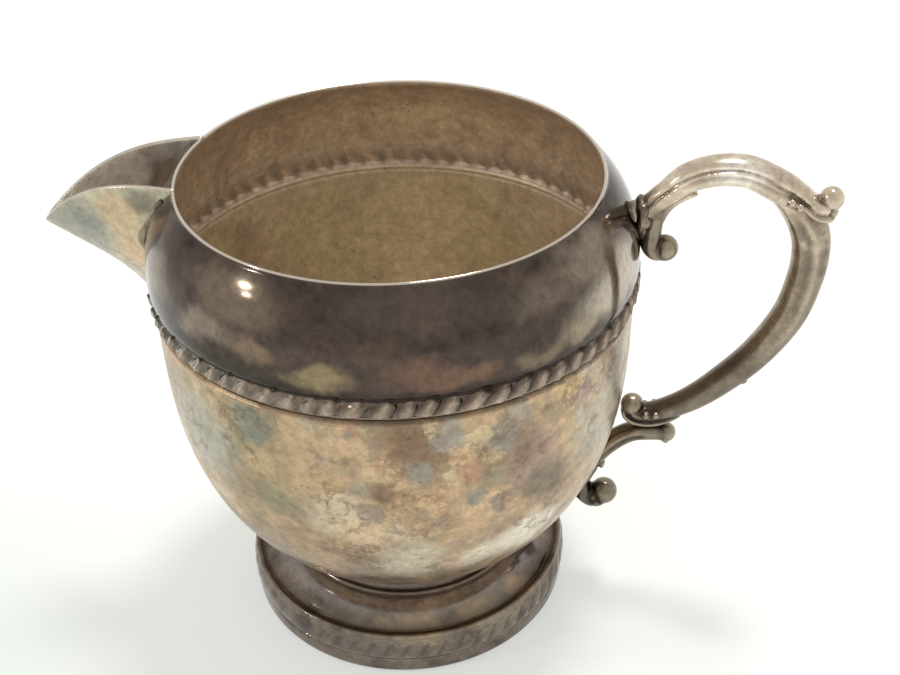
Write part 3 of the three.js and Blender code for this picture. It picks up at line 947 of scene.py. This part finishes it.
def make_spout(material):
    half_count = 30
    sides = [math.sin(math.pi / 2 * i / half_count) for i in range(-half_count, half_count + 1)]
    count = len(sides)
    sections = [(side, False) for side in sides] + [(side, True) for side in reversed(sides)]
    reach = [spout_contact(side, inner, 0.5) for side, inner in sections]
    steps = 70
    rings = []
    for i in range(steps + 1):
        along = (i / steps) ** 1.4
        ring = [
            spout_point(share * along, side, inner) for (side, inner), share in zip(sections, reach)
        ]
        outer_edge, inner_edge = np.array(ring[count - 1]), np.array(ring[count])
        lip = []
        for turn in (0.15, 0.5, 0.85):
            point = outer_edge + (inner_edge - outer_edge) * turn
            point[2] += 0.4 * abs(outer_edge[1] - inner_edge[1]) * math.sin(math.pi * turn)
            lip.append(point)
        other = [(p[0], -p[1], p[2]) for p in reversed(lip)]
        rings.append(np.array(ring[:count] + lip + ring[count:] + other))
    points, faces = stack_rings(rings)
    size = len(rings[0])
    end_faces = [(i, i + 1, size - 5 - i, size - 4 - i) for i in range(count - 1)]
    end_faces.append(tuple(range(count - 1, count + 4)))
    end_faces.append((*range(size - 4, size), 0))
    faces += [tuple(reversed(face)) for face in end_faces]
    faces += [tuple(index + size * steps for index in face) for face in end_faces]
    on_edge = np.zeros(size)
    on_edge[count:count + 3] = 1
    on_edge[-3:] = 1
    on_inside = np.zeros(size)
    on_inside[count + 3:-3] = 1
    layers = {"edge": np.tile(on_edge, steps + 1), "inside": np.tile(on_inside, steps + 1)}
    make_piece("beak_spout", points, faces, "spout", material, layers)


def tube(route, radii, sides=12):
    """A closed tube of round sections along a list of points."""
    route = np.array(route)
    along = np.gradient(route, axis=0)
    along /= np.linalg.norm(along, axis=1)[:, None]
    turn = np.arange(sides) * TURN / sides
    rings = []
    guide = np.array([0.0, 0.0, 1.0])
    for centre, direction, radius in zip(route, along, radii):
        guide = guide - direction * np.dot(guide, direction)
        guide /= np.linalg.norm(guide)
        other = np.cross(direction, guide)
        circle = np.outer(np.cos(turn), guide) + np.outer(np.sin(turn), other)
        rings.append(centre + radius * circle)
    return stack_rings(rings, ends=True)


def make_spout_seam(material):
    """A thin uneven bead of solder round the spout's root, with a blob near its top."""
    random = np.random.default_rng(11)
    count = 120
    route = []
    radii = []
    for i in range(count + 1):
        side = -0.96 + 1.92 * i / count
        share = spout_contact(side)
        blob = 0.75 * math.exp(-((side + 0.8) / 0.035) ** 2)
        x, y, z = spout_point(share, side)
        outwards = 1 + 0.6 * blob / math.hypot(x, y)
        route.append((x * outwards, y * outwards, z))
        radii.append(0.42 + 0.12 * random.random() + blob)
    radii = np.convolve(np.pad(radii, 2, "edge"), np.ones(5) / 5, "valid")
    points, faces = tube(route, radii)
    layers = {"groove": np.zeros(len(points))}
    make_piece("spout_seam", points, faces, "spout_solder_seam", material, layers)


# ---- Handle

SILVER_SOFTNESS = 3               # rounds of smoothing of a casting
SOLDER_SOFTNESS = 14
GRAIN = 0.17                      # mesh size of a casting

# Each point of a scroll is (x, z, width in the handle's plane, thickness across it).
ARCH = [
    (41.3, 82.7, 4, 5.5), (43.6, 84.1, 3.8, 5), (46.2, 86.5, 4, 5), (50, 89.8, 4.7, 5.4),
    (55, 91.3, 5, 5.8), (60, 90.9, 5.2, 6), (64.8, 88.6, 5.4, 6.2), (68.2, 86.7, 4.6, 6),
    (71, 85.3, 3.2, 5.4), (73.2, 85, 2.6, 4.6),
]
CURL = [
    (45.2, 85.4, 2.6, 4), (44.8, 82, 3.2, 4.4), (44.4, 79.4, 3.6, 4.8), (44.4, 77, 3.4, 4.8),
    (45.5, 75.5, 2.8, 4.4), (46.8, 75.8, 2.2, 3.6),
]
RIB = [
    (44.9, 77.5, 1, 3.2), (45.4, 81, 1.5, 3.6), (46.6, 84.2, 1.7, 3.6), (48.4, 86, 1.6, 3.4),
    (50.5, 86.9, 1.2, 2.8), (51.6, 87, 0.5, 1.6),
]
THUMB_LIP = [
    (66.2, 87.9, 0.8, 4.4), (68.6, 86.1, 1.4, 6.2), (71, 84.2, 1.6, 6.6), (73.4, 83.6, 1.5, 5.4),
    (74.3, 84.4, 0.9, 3.2),
]
GRIP = [
    (63.6, 87.9, 2.4, 4.6), (66.6, 85.8, 4.4, 5.4), (69.2, 83.3, 6, 5.9), (70.9, 80.2, 6.5, 6.2),
    (71.6, 76.5, 6.4, 6.4), (71.4, 71, 6.2, 6.4),
    (69.6, 63, 6, 6.2), (65, 54.7, 5.6, 6), (59.3, 48.1, 5.1, 5.6), (54, 43.5, 4.5, 5),
    (49, 40.9, 3.6, 4.6), (45.6, 40.2, 3, 4.2), (43.6, 40.9, 2.6, 4),
]
GRIP_LIP = [
    (41.9, 41, 0.8, 2.6), (42.4, 39.6, 1.2, 3.2), (44, 38.5, 1.4, 3.6), (46.6, 38.2, 1.4, 3.8),
    (49.2, 38.8, 1.5, 3.8), (51.6, 40.2, 1.6, 3.6), (53.4, 41.6, 0.8, 2.6),
]
BRACKET = [
    (50.7, 35.5, 3, 3.6), (47.5, 35.7, 3.2, 4), (44, 35.3, 3.2, 4.4), (41, 33.4, 3.4, 4.6),
    (38.6, 30.4, 2.8, 4.4), (36.7, 27, 2.6, 4), (35, 23.6, 3.2, 4.6), (35.3, 20.2, 3.8, 4.8),
    (37.4, 18.4, 3.2, 4.4), (39.2, 19, 3, 4),
]
BRACKET_FOOT = [
    (30.6, 23.4, 3.4, 4.8), (31.5, 22.5, 3.4, 4.6), (33.2, 21.4, 3.2, 4.4), (35.4, 21, 3, 4.4),
]
BRACKET_STRIP = [
    (37.6, 26.6, 0.8, 3), (36, 23.8, 1.2, 4), (34.6, 21.4, 1.4, 4.6), (35, 19, 1.2, 4.4),
    (36.8, 17.3, 1, 3.6), (39, 17.2, 0.7, 2.6),
]


def spline(values, share):
    """A Catmull-Rom curve through rows of numbers, with equal steps between them."""
    values = np.asarray(values, dtype=float)
    padded = np.vstack([2 * values[0] - values[1], values, 2 * values[-1] - values[-2]])
    place = share * (len(values) - 1)
    i = min(int(place), len(values) - 2)
    t = place - i
    a, b, c, d = padded[i:i + 4]
    return 0.5 * (
        2 * b + (c - a) * t + (2 * a - 5 * b + 4 * c - d) * t * t
        + (3 * b - 3 * c + d - a) * t ** 3
    )


def strand(points, chase=None, sides=40, squareness=2.3):
    """A cast scroll in the XZ plane. chase(share, turn) gives how far its face stands out, where
    turn is 0 on the finger side of the handle, 90 at either flank and 180 on the back."""
    length = sum(math.dist(a[:2], b[:2]) for a, b in zip(points, points[1:]))
    steps = max(8, int(length / 0.35))
    angle = np.arange(sides) * TURN / sides
    turn = np.degrees(np.abs((angle + math.pi) % TURN - math.pi))
    rings = []
    for i in range(steps + 1):
        share = i / steps
        x, z, width, thickness = spline(points, share)
        ahead = spline(points, min(share + 0.004, 1))
        behind = spline(points, max(share - 0.004, 0))
        along = (ahead - behind)[:2]
        along /= np.linalg.norm(along)
        across, side = np.cos(angle), np.sin(angle)
        size = (np.abs(across) ** squareness + np.abs(side) ** squareness) ** (-1 / squareness)
        stand = chase(share, turn) if chase else 0
        in_plane = size * across * (width / 2 + stand)
        off_plane = size * side * (thickness / 2 + stand)
        rings.append(np.stack([
            x + along[1] * in_plane, -off_plane, z - along[0] * in_plane,
        ], axis=1))
    return stack_rings(rings, ends=True)


def bead(x, z, radius, y=0, stretch=(1, 1, 1)):
    """A ball of silver, or an egg if stretched."""
    rings = []
    for i in range(1, 14):
        angle = math.pi * i / 14
        ring = turned(radius * math.sin(angle), -radius * math.cos(angle), 28)
        rings.append(ring * stretch + [x, y, z])
    return stack_rings(rings, ends=True)


def joined(shells):
    """Points and faces of several closed shells together."""
    points = np.concatenate([shell[0] for shell in shells])
    faces = []
    start = 0
    for shell_points, shell_faces in shells:
        faces += [tuple(int(v) + start for v in face) for face in shell_faces]
        start += len(shell_points)
    return points, faces


def neighbour_mean(values, a, b):
    """The mean of each point's neighbours, for values with one row per point."""
    count = len(values)
    size = np.maximum(np.bincount(a, minlength=count) + np.bincount(b, minlength=count), 1)
    columns = [
        np.bincount(a, column[b], count) + np.bincount(b, column[a], count)
        for column in values.T
    ]
    return np.stack(columns, axis=1) / size[:, None]


def store_hollows(mesh, depth):
    """Stores how far each point lies in a hollow as groove, and on a crest as worn."""
    points, normals = (np.empty(len(mesh.vertices) * 3) for _ in range(2))
    mesh.vertices.foreach_get("co", points)
    mesh.vertices.foreach_get("normal", normals)
    points = points.reshape(-1, 3) / MM
    ends = np.empty(len(mesh.edges) * 2, dtype=np.int32)
    mesh.edges.foreach_get("vertices", ends)
    a, b = ends[0::2], ends[1::2]
    smoothed = points
    for _ in range(40):
        smoothed = neighbour_mean(smoothed, a, b)
    sunk = ((smoothed - points) * normals.reshape(-1, 3)).sum(axis=1, keepdims=True)
    for _ in range(3):
        sunk = neighbour_mean(sunk, a, b)
    share = sunk[:, 0] / depth
    store(mesh, "groove", np.clip(share, 0, 1))
    store(mesh, "worn", np.clip(-share - 0.25, 0, 1))


def cast_piece(name, shells, node, material, softness=SILVER_SOFTNESS):
    """Melts closed shells into one smooth casting."""
    maker = add_object(name + "_maker", make_mesh(name + "_shells", *joined(shells)))
    remesh = maker.modifiers.new("melt", "REMESH")
    remesh.mode = "VOXEL"
    remesh.voxel_size = GRAIN * MM * 1
    remesh.use_smooth_shade = True
    soften = maker.modifiers.new("soften", "SMOOTH")
    soften.factor = 0.5
    soften.iterations = softness
    mesh = with_modifiers(maker)
    bpy.data.meshes.remove(maker.data)
    mesh.name = name
    mesh.materials.clear()
    mesh.materials.append(material)
    mesh.shade_smooth()
    store_hollows(mesh, 0.16)
    stand_for(add_object(name, mesh), node)


def window(share, start, end, soft=0.06):
    """1 between two shares of a scroll's length, fading out at both."""
    return smooth_step(share, start, start + soft) * (1 - smooth_step(share, end - soft, end))


def chase_arch(share, turn):
    """Two long grooves that run together towards the thumb rest, with a leaf between them."""
    upper = 128 - 25 * share - 40 * max(share - 0.6, 0)
    lower = 100 - 12 * share
    grooves = -0.75 * bell(turn, upper, 8) * window(share, 0.1, 0.86)
    grooves -= 0.6 * bell(turn, lower, 7) * window(share, 0.28, 0.88)
    leaf = 0.25 * bell(turn, (upper + lower) / 2, 8) * window(share, 0.32, 0.66, 0.12)
    bevel = 0.2 * bell(turn, 62, 10) * window(share, 0.2, 0.95)
    ridge_back = 0.15 * bell(turn, 180, 35) * window(share, 0.1, 0.6)
    return grooves + leaf + bevel + ridge_back


def chase_grip(share, turn):
    """A groove and a crease down each flank that fade out half way."""
    groove = -0.36 * bell(turn, 66 + 10 * share, 13) * window(share, 0.06, 0.6, 0.2)
    crease = 0.28 * bell(turn, 92 + 14 * share, 8) * window(share, 0.04, 0.6, 0.16)
    hollow = -0.26 * bell(turn, 120 + 10 * share, 13) * window(share, 0.06, 0.6, 0.2)
    return groove + crease + hollow


def chase_bracket(share, turn):
    """A shallow hollow down each flank."""
    return -0.25 * bell(turn, 95, 20) * window(share, 0.12, 0.6)


def make_handle(silver, solder):
    cast_piece("handle_arch", [
        strand(ARCH, chase_arch), strand(CURL), strand(RIB), strand(THUMB_LIP),
        bead(73.6, 86.5, 2.1), bead(72.6, 84.9, 1.5, 0, (1.2, 1.3, 1)),
        bead(73.8, 84.4, 1.2, 0, (1, 1.6, 1)), bead(47, 76.2, 2.35),
        bead(43.1, 80, 1, 0, (1.3, 2, 2.6)),
        bead(66.6, 87, 0.75, -2.9), bead(68, 86.2, 0.75, -3),
        bead(66.6, 87, 0.75, 2.9), bead(68, 86.2, 0.75, 3),
    ], "handle_upper_scroll", silver)
    cast_piece("handle_grip", [
        strand(GRIP, chase_grip, squareness=2.05), strand(GRIP_LIP), bead(43.6, 41.9, 2.15),
        bead(46.1, 40.6, 0.7, -1.9), bead(47.9, 40.9, 0.65, -2.1),
        bead(46.1, 40.6, 0.7, 1.9), bead(47.9, 40.9, 0.65, 2.1),
        bead(63, 49, 0.9, -0.4, (1.3, 1.5, 0.9)), bead(61.2, 47.3, 0.8, 0.3, (1.4, 1.5, 0.8)),
    ], "handle_grip_scroll", silver)
    cast_piece("handle_bracket", [
        strand(BRACKET, chase_bracket), strand(BRACKET_FOOT), strand(BRACKET_STRIP),
        bead(50.3, 35.5, 1.95), bead(50.4, 34, 0.7, -0.6), bead(39.4, 20, 2.65),
        bead(38, 18.6, 2.2, 0, (1, 1.1, 1)), bead(37.4, 19.5, 2, 0, (1, 1.2, 0.9)),
        bead(38.6, 27.6, 1, 0, (0.7, 1.6, 1.3)),
    ], "handle_lower_bracket", silver)
    cast_piece("upper_solder", [
        bead(42.4, 82.8, 1, 0, (1.3, 3.6, 3.3)), bead(42.6, 84.4, 1.3, -1.7),
        bead(42.9, 82.4, 1.3, -2.2), bead(42.6, 81.2, 1.3, 2),
    ], "handle_upper_solder", solder, SOLDER_SOFTNESS)
    cast_piece("lower_solder", [
        bead(31.2, 22.6, 1.25), bead(31.3, 22.7, 1.2, -1.3), bead(31.3, 22.6, 1.2, 1.3),
        bead(31, 22.2, 1.1, -2.4), bead(31.2, 22.6, 1.1, 2.3), bead(32, 23.9, 1, -0.9),
        bead(32, 23.9, 1, 1.1), bead(29.9, 21.2, 1, -0.6),
    ], "handle_lower_solder", solder, SOLDER_SOFTNESS)


# ---- Stage

def make_world():
    world = bpy.data.worlds.new("soft_room")
    bpy.context.scene.world = world
    tree = Tree(world, "Generated")
    levels = ((0.0, 0.86), (0.2, 0.84), (0.5, 0.76), (0.8, 0.7), (1.0, 0.68))
    shades = [(height, (level, level * 0.97, level * 0.92)) for height, level in levels]
    tree.put(tree.nodes["Background"].inputs["Color"], tree.ramp(tree.upwards(), shades))


def make_floor():
    """A pale floor that glows a little, with a dull green shade on one side."""
    half = 3.0
    below = -0.02 * MM
    mesh = bpy.data.meshes.new("floor")
    corners = [(-half, -half), (half, -half), (half, half), (-half, half)]
    mesh.from_pydata([(x, y, below) for x, y in corners], [], [(0, 1, 2, 3)])
    tree = new_tree("pale_floor")
    pale, green = (0.57, 0.575, 0.57), (0.25, 0.33, 0.285)
    green_middle, green_radius = (212, 145, 0), 130
    shade = tree.paint_patch(pale, tree.place, green_middle, green_radius, green, 1.0, 0.95)
    tree.put(tree.shader("Emission Color"), (0.96, 1.0, 0.98, 1))
    tree.put(tree.shader("Emission Strength"), 0.43)
    mesh.materials.append(tree.finish(shade, 0.6, 0.0))
    floor = add_object("floor", mesh)


def add_lamp(name, direction, distance, size, power):
    light = bpy.data.lights.new(name, "AREA")
    light.shape = "DISK"
    light.size = size
    light.energy = power
    light.color = (1.0, 0.97, 0.92)
    lamp = add_object(name, light)
    away = Vector(direction).normalized()
    lamp.location = away * distance
    lamp.rotation_euler = away.to_track_quat("Z", "Y").to_euler()


def make_camera():
    """The camera: angles given in degrees, distances in metres, lens and sensor in millimetres."""
    elevation, azimuth, roll = (math.radians(angle) for angle in (35.08, 5.5, -1.34))
    distance = 0.2301
    target = Vector((0.00249, 0.0009, 0.0552))
    camera = add_object("camera", bpy.data.cameras.new("camera"))
    camera.data.lens = 49.8
    camera.data.sensor_width = 36
    camera.data.clip_start = 0.01
    level = math.cos(elevation)
    back = Vector((level * math.sin(azimuth), -level * math.cos(azimuth), math.sin(elevation)))
    turn = back.to_track_quat("Z", "Y") @ Quaternion((0, 0, 1), roll)
    camera.matrix_world = Matrix.LocRotScale(target + back * distance, turn, None)
    bpy.context.scene.camera = camera


make_camera()
make_world()
make_floor()
add_lamp("lamp_left", (-0.78, -0.3, 0.55), 1.3, 0.045, 1.1)
add_lamp("lamp_left_small", (-0.83, -0.39, 0.5), 1.3, 0.025, 0.3)
add_lamp("lamp_back", (0.12, 0.22, 0.95), 1.5, 0.32, 10)
bpy.context.scene.view_settings.view_transform = "Standard"

make_bowl()
old_solder = solder_material()
make_foot(old_solder)
make_spout(spout_material())
make_spout_seam(old_solder)
make_handle(handle_material(), old_solder)
